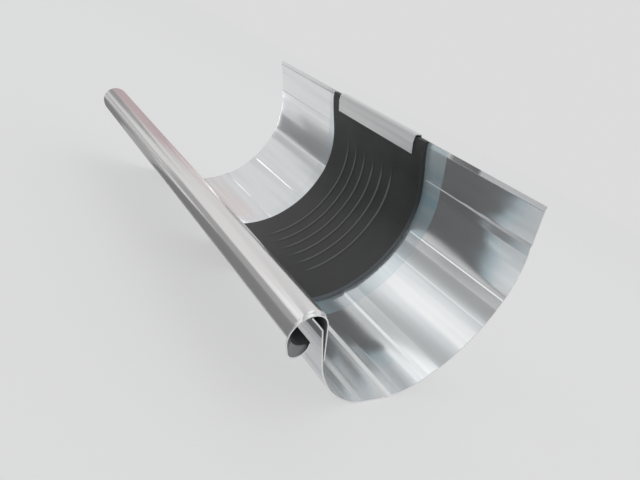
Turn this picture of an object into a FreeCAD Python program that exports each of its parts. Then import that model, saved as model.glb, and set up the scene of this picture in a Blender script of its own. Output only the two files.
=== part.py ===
import FreeCAD, Part
import math
import os

# Expansion joint for a half-round roof gutter.
# Two bent sheet halves are joined by a glued rubber strip, so that a long run of gutter can grow and
# shrink. A bead sleeve hooks over the front flanges of both halves and a clip over their rear lips.
# Sections are drawn upright across the gutter, with the middle of the round at zero: X runs from the
# bead (minus) to the rear wall (plus), Y along the gutter, Z up. The finished joint is then rolled onto
# the flat of its bottom on which it comes to rest, with the middle of its footprint at the origin.

# Driving dimensions, in millimetres and degrees: name, value and what it measures.
DIMENSIONS = [
    ("overall_length", 300, "length of the joint along the gutter"),
    ("inner_width", 153, "inside width between the rear wall and the front wall"),
    ("sheet_thickness", 0.7, "thickness of the bent sheet"),
    ("expansion_gap", 40, "gap between the halves, under the rubber"),
    ("rear_height", 24.5, "height of the rear lip above the middle of the round"),
    ("rear_foot", 5, "depth of the rear wall's foot below the middle"),
    ("lip_length", 3.5, "length of the rear lip"),
    ("lip_angle", 18, "outward lean of the rear lip"),
    ("round_radius", 78.5, "radius of the circle that the bends of the bottom lie on"),
    ("bend_count", 6, "bends round the bottom"),
    ("first_bend_angle", 35, "angle of the first bend of the bottom, down from the rear"),
    ("last_bend_angle", 154, "angle of the last bend of the bottom, at the front"),
    ("taper_angle", 5.5, "how much the rear flat's angle exceeds the front flat's"),
    ("flat_radius", 110, "radius of the slight curve across the flats of the bottom"),
    ("bend_radius", 2, "radius of the innermost layer at a bend"),
    ("front_foot", 10, "depth of the front wall's foot below the middle"),
    ("front_height", 18.1, "height of the front wall, where its flange leans out"),
    ("flange_angle", 25, "outward lean of the front flange"),
    ("rubber_width", 109, "width of the rubber strip along the gutter"),
    ("rubber_thickness", 4.5, "thickness of the rubber strip"),
    ("rubber_shift", -3.5, "offset of the strip from the middle of the joint"),
    ("rib_count", 6, "raised ribs round the rubber"),
    ("rib_pitch", 11.2, "distance from rib to rib"),
    ("rib_width", 2, "width of a rib"),
    ("rib_height", 1, "height of a rib"),
    ("rib_rise", 6, "how far the ribs run up the rear wall above its foot"),
    ("rib_length", 134, "length of a rib round the gutter, measured on the halves' inner face"),
    ("glue_line", 0.3, "layer of glue under the rubber"),
    ("sleeve_reach", 3.5, "depth of the sleeve's leg below the middle of the round"),
    ("sleeve_leg", 24.7, "length of the sleeve's straight leg"),
    ("leg_angle", 5, "lean of the leg, away from the front wall"),
    ("bead_radius", 9.6, "outside radius of the bead"),
    ("bead_side", 1, "straight stretch down the bead's front"),
    ("bead_curl_angle", 95, "angle through which the bead turns in below its front"),
    ("mouth_length", 4, "length of the sleeve's flared mouth, at the near end"),
    ("mouth_leg", 22.6, "length of the straight leg at the mouth"),
    ("mouth_radius", 11, "outside radius of the mouth's round"),
    ("mouth_side", 5, "straight stretch down the mouth's front"),
    ("mouth_curl_radius", 6.2, "outside radius of the curl under the mouth"),
    ("mouth_curl_angle", 170, "angle through which the mouth's curl turns back up"),
    ("clip_length", 90, "length of the rear clip along the gutter"),
    ("clip_depth", 11.5, "depth of the clip's inner leg"),
    ("clip_hook", 8, "depth of the clip's outer leg"),
    ("clip_corner", 1, "inside radius of the clip's top corners"),
    ("slide_clearance", 0.3, "room between pieces that slide past each other"),
    ("rest_flat_number", 5, "flat that the joint rests on, counted from the rear wall"),
]

UP = 90.0
RIGHT_ANGLE = 90.0
HALF_TURN = 180.0

doc = FreeCAD.newDocument("gutter_expansion_joint")
sheet = doc.addObject("Spreadsheet::Sheet", "Sizes")
for row, (name, value, meaning) in enumerate(DIMENSIONS, start=1):
    sheet.set("A%d" % row, meaning)
    sheet.set("B%d" % row, str(value))
    sheet.setAlias("B%d" % row, name)
doc.recompute()


def size(name):
    """The value that the sheet holds for a driving dimension."""
    return float(sheet.get(name))


def direction(degrees):
    """The unit vector at an angle in the plane of the section."""
    return FreeCAD.Vector(math.cos(math.radians(degrees)), math.sin(math.radians(degrees)), 0)


def heading(start, end):
    """The angle in degrees of the line from one section point to another."""
    return math.degrees(math.atan2(end.y - start.y, end.x - start.x))


def beside(points, index, side):
    """The corner of a line of points, moved to the line's right by a distance."""
    normals = []
    for first in (max(index - 1, 0), min(index, len(points) - 2)):
        normals.append(direction(heading(points[first], points[first + 1]) - RIGHT_ANGLE))
    middle = normals[0] + normals[1]
    return points[index] + middle * (side / (1 + normals[0].dot(normals[1])))


def bent_strip(points, radii, curves):
    """A bent strip as steps: each a straight run, then the radius and the turn (left is plus) of an arc.
    A leg with a curve of its own turns right on that radius. A bend cuts its two legs short and takes over
    the turn that they lose."""
    legs = list(zip(points, points[1:]))
    lengths = [a.distanceToPoint(b) for a, b in legs]
    angles = [heading(a, b) for a, b in legs]
    swings = [-2 * math.degrees(math.asin(c / (2 * r))) if r else 0.0 for c, r in zip(lengths, curves)]
    turns = []
    cuts = [0.0]
    for index, radius in enumerate(radii):
        turn = (angles[index + 1] - angles[index] + HALF_TURN) % (2 * HALF_TURN) - HALF_TURN
        turn -= (swings[index] + swings[index + 1]) / 2
        bowed = sum(1 / r for r in curves[index:index + 2] if r)
        cut = radius * math.tan(math.radians(abs(turn)) / 2) / (1 - radius * bowed / 2)
        turns.append(turn - math.degrees(cut * bowed))
        cuts.append(cut)
    cuts.append(0.0)
    steps = []
    for index, curve in enumerate(curves):
        cut = cuts[index] + cuts[index + 1]
        if curve:
            steps.append((0.0, curve, swings[index] + math.degrees(cut / curve)))
        else:
            steps.append((lengths[index] - cut, 0.0, 0.0))
        if index < len(turns):
            steps.append((0.0, radii[index], turns[index]))
    return points[0], angles[0], steps


def shortened(strip, length):
    """The first part of a bent strip, for a length along the strip's line."""
    start, angle, steps = strip
    kept = []
    for run, radius, turn in steps:
        whole = run + radius * math.radians(abs(turn))
        share = min(1.0, length / whole)
        kept.append((run * share, radius, turn * share))
        length -= whole
        if length <= 0:
            break
    return start, angle, kept


def strip_face(strip, side):
    """One face of a bent strip, as lines and arcs that lie a distance to the right of the strip's line."""
    start, angle, steps = strip
    place = start + direction(angle - RIGHT_ANGLE) * side
    edges = []
    for run, radius, turn in steps:
        corner = place + direction(angle) * run
        if run:
            edges.append(Part.LineSegment(place, corner))
            place = corner
        if turn:
            toward = math.copysign(1, turn)
            reach = radius + toward * side
            centre = place + direction(angle + toward * RIGHT_ANGLE) * reach
            middle = centre + direction(angle - toward * RIGHT_ANGLE + turn / 2) * reach
            angle += turn
            place = centre + direction(angle - toward * RIGHT_ANGLE) * reach
            edges.append(Part.Arc(corner, middle, place))
    return edges


def strip_outline(strip, side_a, side_b):
    """The closed outline of a bent sheet between two faces of its strip."""
    face_a = strip_face(strip, side_a)
    face_b = strip_face(strip, side_b)
    ends = [
        Part.LineSegment(face_a[0].StartPoint, face_b[0].StartPoint),
        Part.LineSegment(face_a[-1].EndPoint, face_b[-1].EndPoint),
    ]
    return face_a + face_b + ends


def origin_plane(body, role):
    """One of a body's own origin planes."""
    return next(plane for plane in body.Origin.OriginFeatures if plane.Role == role)


def add_section(body, name, outline, start="0"):
    """A sketch across the gutter, at a distance from the near end of its body."""
    sketch = body.newObject("Sketcher::SketchObject", name)
    sketch.AttachmentSupport = [(origin_plane(body, "XZ_Plane"), "")]
    sketch.MapMode = "FlatFace"
    for edge in outline:
        sketch.addGeometry(edge, False)
    sketch.setExpression("AttachmentOffset.Base.z", "-(%s)" % start)
    return sketch


def add_pad(body, name, sketch, length):
    """The section carried along the gutter, for a length that the sheet holds."""
    pad = body.newObject("PartDesign::Pad", name)
    pad.Profile = sketch
    pad.Reversed = True
    pad.setExpression("Length", length)
    return pad


def add_bent_body(label, outline, length, start="0"):
    """A body of one bent section carried along the gutter."""
    body = doc.addObject("PartDesign::Body", label + "_body")
    body.Label = label
    sketch = add_section(body, label + "_section", outline, start)
    add_pad(body, label + "_pad", sketch, length)
    return body


# The line of the halves' inner face, from the tip of the rear lip to the tip of the front flange.
half_width = size("inner_width") / 2
bend_count = int(round(size("bend_count")))
flats = bend_count - 1
mean_flat = (size("last_bend_angle") - size("first_bend_angle")) / flats


def bend_angle(index):
    """The angle of a bend below the rear: the flats' angles shrink evenly from the rear to the front."""
    growth = index / 2 - index * (index - 1) / (2 * (flats - 1))
    return size("first_bend_angle") + index * mean_flat + size("taper_angle") * growth


lip_line = direction(UP - size("lip_angle")) * size("lip_length")
lip_foot = FreeCAD.Vector(half_width, size("rear_height") - lip_line.y, 0)
lip_tip = lip_foot + lip_line
bends = [FreeCAD.Vector(half_width, -size("rear_foot"), 0)]
bends += [direction(-bend_angle(index)) * size("round_radius") for index in range(bend_count)]
rest_flat = int(round(size("rest_flat_number")))
round_curves = [size("flat_radius")] * len(bends)
round_curves[rest_flat - 1] = 0
wall_foot = FreeCAD.Vector(-half_width, -size("front_foot"), 0)
wall_top = FreeCAD.Vector(-half_width, size("front_height"), 0)

# Layers, counted from the halves' inner face towards the inside of the gutter.
rubber_back = size("glue_line")
rubber_front = rubber_back + size("rubber_thickness")
clip_inside = rubber_front + size("slide_clearance")
clip_outside = -size("sheet_thickness") - size("slide_clearance")
sheet_bend = size("bend_radius") + clip_inside + size("sheet_thickness")

# The sleeve's leg stands inside the front wall. Its bead goes over the flange and turns in below.
leg_heading = UP - size("leg_angle")
leg_foot = FreeCAD.Vector(-half_width + size("slide_clearance"), -size("sleeve_reach"), 0)


def sleeve_outline(leg, radius, side, curl_radius, curl_angle):
    """The sleeve's section: leg, round bead, straight front and the curl below it."""
    hollow = radius - size("sheet_thickness")
    curl_hollow = curl_radius - size("sheet_thickness")
    steps = [(leg, hollow, HALF_TURN + size("leg_angle")), (side, curl_hollow, curl_angle)]
    return strip_outline((leg_foot, leg_heading, steps), 0, size("sheet_thickness"))


def flange_reach(leg, radius):
    """The length of flange, from the front wall's top, that stops just short of the bead's roof."""
    hollow = radius - size("sheet_thickness")
    middle = leg_foot + direction(leg_heading) * leg + direction(leg_heading + RIGHT_ANGLE) * hollow
    from_middle = wall_top - middle
    along = flange_line.dot(from_middle)
    roof = hollow - size("slide_clearance")
    return -along + math.sqrt(along ** 2 + roof ** 2 - from_middle.dot(from_middle))


# The front flange leans out into the bead, clear of the round of the mouth as well.
flange_line = direction(UP + size("flange_angle"))
bead_reach = flange_reach(size("sleeve_leg"), size("bead_radius"))
mouth_reach = flange_reach(size("mouth_leg"), size("mouth_radius"))
flange_tip = wall_top + flange_line * min(bead_reach, mouth_reach)

gutter_line = [lip_tip, lip_foot] + bends + [wall_foot, wall_top, flange_tip]
half_strip = bent_strip(gutter_line, [sheet_bend] * (len(gutter_line) - 2), [0, 0] + round_curves + [0, 0])
half_outline = strip_outline(half_strip, 0, -size("sheet_thickness"))
half_length = "(Sizes.overall_length - Sizes.expansion_gap) / 2"
near_half = add_bent_body("near_gutter_half", half_outline, half_length)
far_half = add_bent_body("far_gutter_half", half_outline, half_length)

# The rubber follows the halves from the rear lip to just below the sleeve's leg.
rubber_end = FreeCAD.Vector(-half_width, leg_foot.y - size("slide_clearance"), 0)
rubber_line = [lip_tip, lip_foot] + bends + [wall_foot, rubber_end]
rubber_strip = bent_strip(rubber_line, [sheet_bend] * (len(rubber_line) - 2), [0, 0] + round_curves + [0])
rubber_outline = strip_outline(rubber_strip, rubber_back, rubber_front)
rubber = add_bent_body("rubber_strip", rubber_outline, "Sizes.rubber_width")

# The ribs stand on the rubber's inner face, side by side over the gap between the halves. They end
# on the bottom, well before the sleeve.
rib_line = [bends[0] + FreeCAD.Vector(0, size("rib_rise"), 0)] + bends
rib_strip = bent_strip(rib_line, [sheet_bend] * (len(rib_line) - 2), [0] + round_curves[1:])
rib_strip = shortened(rib_strip, size("rib_length"))
rib_outline = strip_outline(rib_strip, rubber_front, rubber_front + size("rib_height"))
rib_row = "((Sizes.rib_count - 1) * Sizes.rib_pitch + Sizes.rib_width)"
first_rib = "(Sizes.rubber_width - %s) / 2 - Sizes.rubber_shift" % rib_row
rib_section = add_section(rubber, "rib_section", rib_outline, first_rib)
rib_pad = add_pad(rubber, "rib_pad", rib_section, "Sizes.rib_width")
ribs = rubber.newObject("PartDesign::LinearPattern", "ribs")
ribs.Originals = [rib_pad]
ribs.Direction = (origin_plane(rubber, "Y_Axis"), [""])
ribs.setExpression("Length", "(Sizes.rib_count - 1) * Sizes.rib_pitch")
ribs.setExpression("Occurrences", "Sizes.rib_count")
rubber.Tip = ribs

# The sleeve's bead is round along its length and flares out at the near end, as a mouth for the next bead.
bead_outline = sleeve_outline(
    size("sleeve_leg"), size("bead_radius"), size("bead_side"),
    size("bead_radius"), size("bead_curl_angle"),
)
mouth_outline = sleeve_outline(
    size("mouth_leg"), size("mouth_radius"), size("mouth_side"),
    size("mouth_curl_radius"), size("mouth_curl_angle"),
)
tube_length = "Sizes.overall_length - Sizes.mouth_length"
sleeve = add_bent_body("bead_sleeve", bead_outline, tube_length, "Sizes.mouth_length")
mouth = sleeve.newObject("PartDesign::AdditiveLoft", "mouth")
mouth.Profile = add_section(sleeve, "mouth_section", mouth_outline)
mouth.Sections = [add_section(sleeve, "mouth_root", bead_outline, "Sizes.mouth_length")]
mouth.Ruled = True
sleeve.Tip = mouth

# The clip folds over the rubber and both halves at the rear: inner leg, top and outer leg.
clip_top = lip_tip + direction(UP - size("lip_angle")) * size("clip_corner")
wall_bottom = FreeCAD.Vector(half_width, lip_tip.y - size("clip_depth"), 0)
hook_bottom = FreeCAD.Vector(half_width, lip_tip.y - size("clip_hook"), 0)
inner_leg = [wall_bottom, lip_foot, clip_top]
outer_leg = [hook_bottom, lip_foot, clip_top]
clip_line = [beside(inner_leg, index, -clip_inside) for index in (0, 1, 2)]
clip_line += [beside(outer_leg, index, -clip_outside) for index in (2, 1, 0)]
lip_bend_inside = sheet_bend + clip_inside
lip_bend_outside = sheet_bend + clip_outside
clip_bends = [lip_bend_inside, size("clip_corner"), size("clip_corner"), lip_bend_outside]
clip_strip = bent_strip(clip_line, clip_bends, [0] * (len(clip_line) - 1))
clip_outline = strip_outline(clip_strip, 0, -size("sheet_thickness"))
clip = add_bent_body("rear_clip", clip_outline, "Sizes.clip_length")
doc.recompute()

# Where each piece starts along the gutter, counted from the middle of the joint.
half_overall = size("overall_length") / 2
starts = {
    near_half: -half_overall,
    far_half: size("expansion_gap") / 2,
    rubber: size("rubber_shift") - size("rubber_width") / 2,
    sleeve: -half_overall,
    clip: -size("clip_length") / 2,
}

# The joint is rolled about its length until its resting flat is level, and set down on the floor.
flat_angle = (bend_angle(rest_flat - 2) + bend_angle(rest_flat - 1)) / 2
roll = FreeCAD.Rotation(FreeCAD.Vector(0, 1, 0), RIGHT_ANGLE - flat_angle)
for body, start in starts.items():
    body.Placement = FreeCAD.Placement(roll.multVec(FreeCAD.Vector(0, start, 0)), roll)
doc.recompute()
box = Part.makeCompound([body.Shape for body in starts]).optimalBoundingBox(False)
to_floor = FreeCAD.Vector(-(box.XMin + box.XMax) / 2, 0, -box.ZMin)
print("middle of the round", to_floor)
for body in starts:
    body.Placement = FreeCAD.Placement(body.Placement.Base + to_floor, roll)
doc.recompute()

for item in doc.Objects:
    if "Invalid" in item.State or "Error" in item.State:
        raise RuntimeError("failed feature: " + item.Label)
for body in starts:
    if body.Shape.isNull() or not body.Shape.isValid():
        raise RuntimeError("bad shape: " + body.Label)

os.makedirs("parts", exist_ok=True)
for body in starts:
    body.Shape.exportStep("parts/%s.step" % body.Label)
    print(body.Label, "volume %.0f mm3" % body.Shape.Volume, body.Shape.BoundBox)
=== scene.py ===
# %% [markdown]
# # A gutter expansion joint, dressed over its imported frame
#
# A long run of metal gutter grows and shrinks with the weather. This joint takes up the movement: two
# halves of bent sheet stand a little apart, and a ribbed rubber strip is glued across the gap. A bead
# sleeve hooks over the front of both halves, and a folded clip holds the rubber at the rear.
#
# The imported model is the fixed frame. Each piece below is a surface worked out with numpy that stands for
# one solid of that frame: a section line carried along the gutter, with the thickness of its sheet.

# %% Load the frame
import math

import bpy
import numpy as np
from mathutils import Matrix, Vector


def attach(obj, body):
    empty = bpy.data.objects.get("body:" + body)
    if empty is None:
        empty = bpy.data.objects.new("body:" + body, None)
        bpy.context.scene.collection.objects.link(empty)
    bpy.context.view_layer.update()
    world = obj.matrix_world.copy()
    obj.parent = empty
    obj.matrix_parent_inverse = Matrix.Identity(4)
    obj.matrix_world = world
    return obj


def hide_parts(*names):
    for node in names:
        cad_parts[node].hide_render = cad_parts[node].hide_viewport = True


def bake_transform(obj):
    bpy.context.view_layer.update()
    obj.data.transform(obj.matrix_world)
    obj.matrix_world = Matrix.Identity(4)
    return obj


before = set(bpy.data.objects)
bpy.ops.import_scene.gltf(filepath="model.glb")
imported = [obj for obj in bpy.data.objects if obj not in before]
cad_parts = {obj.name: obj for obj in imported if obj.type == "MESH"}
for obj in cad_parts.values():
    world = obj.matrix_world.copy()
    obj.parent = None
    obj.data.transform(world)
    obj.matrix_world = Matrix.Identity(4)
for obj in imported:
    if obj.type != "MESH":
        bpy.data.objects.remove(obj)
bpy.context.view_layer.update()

# %% [markdown]
# ## Two frames, one roll apart
#
# The section is easiest to describe upright, as it hangs on a house: X from the bead to the rear wall,
# Z up, in millimetres, with the middle of the round at zero. Lying on a floor, the joint rolls onto one
# flat of its bottom. One turn about the gutter's length and one shift take the upright section there, so
# every piece is drawn upright and placed by the same function.

# %% From the upright section to the frame
MM = 0.001
ROUND_RADIUS = 78.5
BEND_ANGLES = np.array([35.0, 61.55, 86.725, 110.525, 132.95, 154.0])
REST_FLAT = 3
SHEET = 0.7
MIDDLE_X = 7.147

resting_angle = BEND_ANGLES[REST_FLAT:REST_FLAT + 2].mean()
half_flat = np.diff(BEND_ANGLES[REST_FLAT:REST_FLAT + 2])[0] / 2
ROLL = math.radians(90 - resting_angle)
MIDDLE_Z = ROUND_RADIUS * math.cos(math.radians(half_flat)) + SHEET


def place(x, y, z):
    """Upright millimetres to frame metres: turn about Y by the roll, then shift to the resting place."""
    across = MIDDLE_X + x * math.cos(ROLL) + z * math.sin(ROLL)
    height = MIDDLE_Z - x * math.sin(ROLL) + z * math.cos(ROLL)
    return np.stack(np.broadcast_arrays(across, y, height), axis=-1) * MM


print("roll %.2f degrees, middle of the round %.2f mm above the floor" % (math.degrees(ROLL), MIDDLE_Z))

# %% [markdown]
# ## A bent line
#
# Folded sheet is a line of runs and round bends. The line could be typed as points, but then no bend could
# be made tighter. Here the corners are named, and every corner is cut by an arc that touches both of its
# runs. A run may be straight, or bow out a little on a radius of its own, as the panels of this gutter do.
# Points in the section are complex numbers, because a turn is then one multiplication.

# %% Corners to runs and arcs
def corner_steps(corners, radii, curves):
    """Start, heading and steps (run, radius, turn) of a line of corners. A bowed run turns right by twice the
    arcsine of half its chord over its radius. A bend cuts its runs short by its radius times the tangent of
    half its turn, and takes over the turn that bowed runs lose by that."""
    chords = np.diff(np.asarray(corners, complex))
    lengths, headings = np.abs(chords), np.angle(chords)
    bows = np.array([1 / curve if curve else 0.0 for curve in curves])
    swings = -2 * np.arcsin(lengths * bows / 2)
    turns = (np.diff(headings) + np.pi) % (2 * np.pi) - np.pi - (swings[:-1] + swings[1:]) / 2
    bowed = bows[:-1] + bows[1:]
    cuts = np.asarray(radii) * np.tan(np.abs(turns) / 2) / (1 - np.asarray(radii) * bowed / 2)
    turns = turns - cuts * bowed
    lost = np.append(0.0, cuts) + np.append(cuts, 0.0)
    steps = []
    for index, curve in enumerate(curves):
        if curve:
            steps.append((0.0, curve, swings[index] + lost[index] / curve))
        else:
            steps.append((lengths[index] - lost[index], 0.0, 0.0))
        if index < len(turns):
            steps.append((0.0, radii[index], turns[index]))
    return corners[0], headings[0], steps


def walk(start, heading, steps, spacing, arc_points=7):
    """Points and headings along a line: each step is a straight run, and then an arc whose middle lies at
    the radius on the side to which it turns. Points lie at the spacing, or closer on short arcs."""
    here = complex(start)
    points, headings = [np.array([here])], [np.array([heading])]
    for run, radius, turn in steps:
        if run:
            share = np.linspace(0, 1, max(int(run / spacing), 2) + 1)[1:]
            points.append(here + share * run * np.exp(1j * heading))
            headings.append(np.full(len(share), heading))
            here = points[-1][-1]
        if turn:
            share = np.linspace(0, 1, max(int(radius * abs(turn) / spacing), arc_points) + 1)[1:]
            side = 1j * np.sign(turn) * radius
            middle = here + side * np.exp(1j * heading)
            headings.append(heading + share * turn)
            points.append(middle - side * np.exp(1j * headings[-1]))
            heading += turn
            here = points[-1][-1]
    return np.concatenate(points), np.concatenate(headings)


def beside(points, headings, distance):
    """The line moved to its right by a distance: each point plus the distance times its right normal."""
    return points - 1j * np.exp(1j * headings) * distance


def along(points):
    """How far along its line each point lies: the running sum of the gaps between points."""
    return np.append(0.0, np.cumsum(np.abs(np.diff(points))))


def ease(value, low, high):
    """A smooth step from 0 at low to 1 at high: three squares less two cubes of the share between them."""
    share = np.clip((value - low) / (high - low), 0, 1)
    return share * share * (3 - 2 * share)


def hump(distance, half_width):
    """A raised cosine: 1 at no distance, and 0 from the half width on."""
    return 0.5 + 0.5 * np.cos(np.pi * np.clip(np.abs(distance) / half_width, 0, 1))


# %% [markdown]
# ## From a loop to a closed mesh
#
# Every piece is a closed loop of points that is repeated along a path, with its two ends closed. For a
# sheet the loop goes down one face and back up the other, so strips of quads close the ends. Each vertex
# also keeps a note of where it lies on the flat piece, which the finishes read, so that rolling lines
# follow the metal round its bends.

# %% Loops to meshes
SHARP_BEND, SHARP_CUT = 16, 50


def loop_quads(rows, columns):
    """Corner numbers of the quads of a grid whose last column joins its first, and of strips that close
    its first and last row by joining columns that face each other."""
    row = np.arange(rows - 1)[:, None] * columns
    column = np.arange(columns)[None, :]
    following = (column + 1) % columns
    corners = [row + column, row + following, row + columns + following, row + columns + column]
    sides = np.stack(corners, axis=-1)
    first = np.arange(columns // 2 - 1)
    cap = np.stack([first, columns - 1 - first, columns - 2 - first, first + 1], axis=-1)
    return np.concatenate([sides.reshape(-1, 4), cap, cap[:, ::-1] + (rows - 1) * columns])


def enclosed_volume(points, quads):
    """Signed volume of a closed mesh: a sixth of the sum of each triangle's triple product."""
    a, b, c, d = (points[quads[:, corner]] for corner in range(4))
    first = np.einsum("ij,ij->i", a, np.cross(b, c)).sum()
    return (first + np.einsum("ij,ij->i", a, np.cross(c, d)).sum()) / 6


def loop_piece(name, section, stations, run, depth, sharp_angle, shift=0.0):
    """A mesh object from section points (one loop per row) at places along the gutter, moved along it by a
    shift. Its note is the distance round the section, the place along the piece and the depth in it."""
    points = place(section.real, stations + shift, section.imag).reshape(-1, 3)
    notes = np.stack(np.broadcast_arrays(run, stations, depth), axis=-1).reshape(-1, 3) * MM
    quads = loop_quads(*section.shape)
    if enclosed_volume(points, quads) < 0:
        quads = quads[:, ::-1]
    mesh = bpy.data.meshes.new(name)
    mesh.from_pydata(points.tolist(), [], quads.tolist())
    note = mesh.attributes.new("flat_place", "FLOAT_VECTOR", "POINT")
    note.data.foreach_set("vector", notes.astype(np.float32).ravel())
    mesh.shade_smooth()
    mesh.set_sharp_from_angle(angle=math.radians(sharp_angle))
    piece = bpy.data.objects.new(name, mesh)
    bpy.context.scene.collection.objects.link(piece)
    print(name, len(points), "points", len(quads), "quads")
    return piece


def add_mask(piece, name, values):
    """A number for each vertex of a piece, which its finish can read by name."""
    mask = piece.data.attributes.new(name, "FLOAT", "POINT")
    mask.data.foreach_set("value", values.astype(np.float32).ravel())


def sheet_piece(name, front, back, stations, run):
    """A sheet between two faces, each given as section points for every station along the gutter."""
    section = np.concatenate([front, back[:, ::-1]], axis=1)
    depth = np.repeat([0.0, SHEET], len(run))[None, :]
    both_runs = np.append(run, run[::-1])[None, :]
    return loop_piece(name, section, stations[:, None], both_runs, depth, SHARP_BEND)


# %% [markdown]
# ## The two halves
#
# The halves are cut from one long gutter section: bowed panels with a pressed crease between them. The
# rear edge has a small lip that leans out, and the front wall ends in a flange that leans into the bead.
# The section is a list of named corners, so one size can change and the rest of the line follows.

# %% Section of the halves
HALF_WIDTH = 76.5
LENGTH = 300.0
GAP = 40.0
HALF_BEND = 2.0
FLAT_RADIUS = 84.0
REAR_TOP, REAR_FOOT = 21.171, -5.0
FRONT_TOP, FRONT_FOOT = 18.1, -10.0
LIP_LENGTH, LIP_LEAN = 3.5, math.radians(72)
FLANGE_LENGTH, FLANGE_LEAN = 12.4, math.radians(115)
HALF_SPACING = 0.42

lip_foot = complex(HALF_WIDTH, REAR_TOP)
lip_tip = lip_foot + LIP_LENGTH * np.exp(1j * LIP_LEAN)
rear_foot = complex(HALF_WIDTH, REAR_FOOT)
front_foot = complex(-HALF_WIDTH, FRONT_FOOT)
front_top = complex(-HALF_WIDTH, FRONT_TOP)
flange_tip = front_top + FLANGE_LENGTH * np.exp(1j * FLANGE_LEAN)
bends = list(ROUND_RADIUS * np.exp(-1j * np.radians(BEND_ANGLES)))

half_corners = [lip_tip, lip_foot, rear_foot] + bends + [front_foot, front_top, flange_tip]
round_curves = [FLAT_RADIUS] * (len(bends) + 1)
round_curves[REST_FLAT + 1] = 0
half_bends = [HALF_BEND] * (len(half_corners) - 2)
half_steps = corner_steps(half_corners, half_bends, [0, 0] + round_curves + [0, 0])
half_line, half_headings = walk(*half_steps, spacing=HALF_SPACING)
half_run = along(half_line)


def run_at(corner):
    """How far along the halves' line the point nearest to a corner lies."""
    return half_run[np.abs(half_line - corner).argmin()]


print("section of a half: %d points, %.1f mm of sheet" % (len(half_line), half_run[-1]))

# %% [markdown]
# ## Creases, a fold and waves
#
# The creases show as thin bright lines, because the press leaves a low ridge whose sides mirror other
# parts of the room. The ridge could be a bump in the finish, but it is part of the form, so it is in the
# surface: a saw tooth with a height and two lengths for each bend. The halves differ a little, as pressed
# parts do: three of the far half's ridges rise over a shorter length.
#
# The fold at the foot of the rear wall opens towards the near end, and the panel below it is pressed in
# above the next crease. Bent sheet is never quite true either: sines of up to a tenth of a millimetre make
# its mirror image swim.

# %% Ridges at the creases
CREASES = (
    (0.40, 1.2, 7.0),
    (0.20, 2.4, 2.4),
    (0.85, 10.0, 2.1),
    (1.40, 9.0, 2.8),
    (0.30, 8.0, 4.0),
    (0.20, 4.0, 2.0),
)
FAR_CREASES = CREASES[:1] + ((0.44, 0.84, 5.0), (0.55, 1.26, 8.0), (0.40, 3.0, 2.8)) + CREASES[4:]
FINE_CREASE_ANGLE, FINE_CREASE = math.radians(50), (0.08, 0.8, 6.0)


def crease(distance, rise, fall):
    """A saw tooth: it rises straight to 1 over one length, then falls straight to 0 over another."""
    return np.clip(np.minimum(1 + distance / rise, 1 - distance / fall), 0, 1)


def crease_ridges(run, creases):
    """Height of the ridges in millimetres: the sum of a saw tooth at each bend and a low one between two."""
    places = bends + [ROUND_RADIUS * np.exp(-1j * FINE_CREASE_ANGLE)]
    height = np.zeros(len(run))
    for corner, (tall, rise, fall) in zip(places, (*creases, FINE_CREASE)):
        height += tall * crease(run - run_at(corner), rise, fall)
    return height


print("tallest ridge %.2f mm" % crease_ridges(half_run, CREASES).max())

# %% The fold, the hollow below it, and waves
RUBBER_START, RUBBER_END = -58.0, 51.0
FOLD_OPENS_FROM = 70.0
FOLD_STEEPNESS, FOLD_RISE, FOLD_WIDENS, FOLD_FALL = 0.5, 0.9, 1.5, 7.0
BULGE_HEIGHT, BULGE_RISES, BULGE_FALLS = 0.9, (-28.0, -2.0), (0.0, 20.0)
HOLLOW_SLOPE, HOLLOW_SHORTEST, HOLLOW_LONGEST, HOLLOW_RETURN = 0.10, 0.5, 16.0, 24.0
HOLLOW_FULL, HOLLOW_NARROWS = 76.0, 0.75
WAVES, WAVE_DRIFT = ((58.0, 0.10), (31.0, 0.05), (17.0, 0.02)), 90.0


def opened_fold(run, stations):
    """Height of the fold at the foot of the rear wall: a saw tooth that grows longer and taller towards the
    near end, and a smooth bulge to both sides of it that grows with it."""
    opening = ease(-stations, FOLD_OPENS_FROM, LENGTH / 2)[:, None]
    fold = run - run_at(rear_foot)
    rise = FOLD_RISE + FOLD_WIDENS * opening
    bulge = ease(fold, *BULGE_RISES) * (1 - ease(fold, *BULGE_FALLS))
    return FOLD_STEEPNESS * rise * crease(fold, rise, FOLD_FALL) + BULGE_HEIGHT * opening * bulge


def pressed_hollow(run, stations):
    """Depth of the hollow above the first crease: a parabola up from the crease, level at the hollow's
    length, and then a straight return. The length fades in beside the rubber and shrinks to the near end."""
    share = ease(-stations, -RUBBER_START, HOLLOW_FULL)
    share = share * (1 - HOLLOW_NARROWS * ease(-stations, HOLLOW_FULL, LENGTH / 2))
    length = HOLLOW_SHORTEST + (HOLLOW_LONGEST - HOLLOW_SHORTEST) * share[:, None]
    above = run_at(bends[0]) - run
    bowl = 1 - (1 - np.maximum(above, 0) / length) ** 2
    bowl = np.where(above < length, bowl, np.clip(1 - (above - length) / HOLLOW_RETURN, 0, 1))
    return HOLLOW_SLOPE / 2 * length * bowl


def sheet_waves(run, stations, seed):
    """Waves of bent sheet, in millimetres: sines across the section whose phase drifts along the gutter."""
    draw = np.random.default_rng(seed)
    height = np.zeros((len(stations), len(run)))
    for length, size in WAVES:
        phase = draw.uniform(0, 2 * np.pi)
        drift = draw.uniform(-1.0, 1.0) * stations[:, None] / WAVE_DRIFT
        height += size * np.sin(2 * np.pi * run[None, :] / length + phase + drift)
    return height


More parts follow.
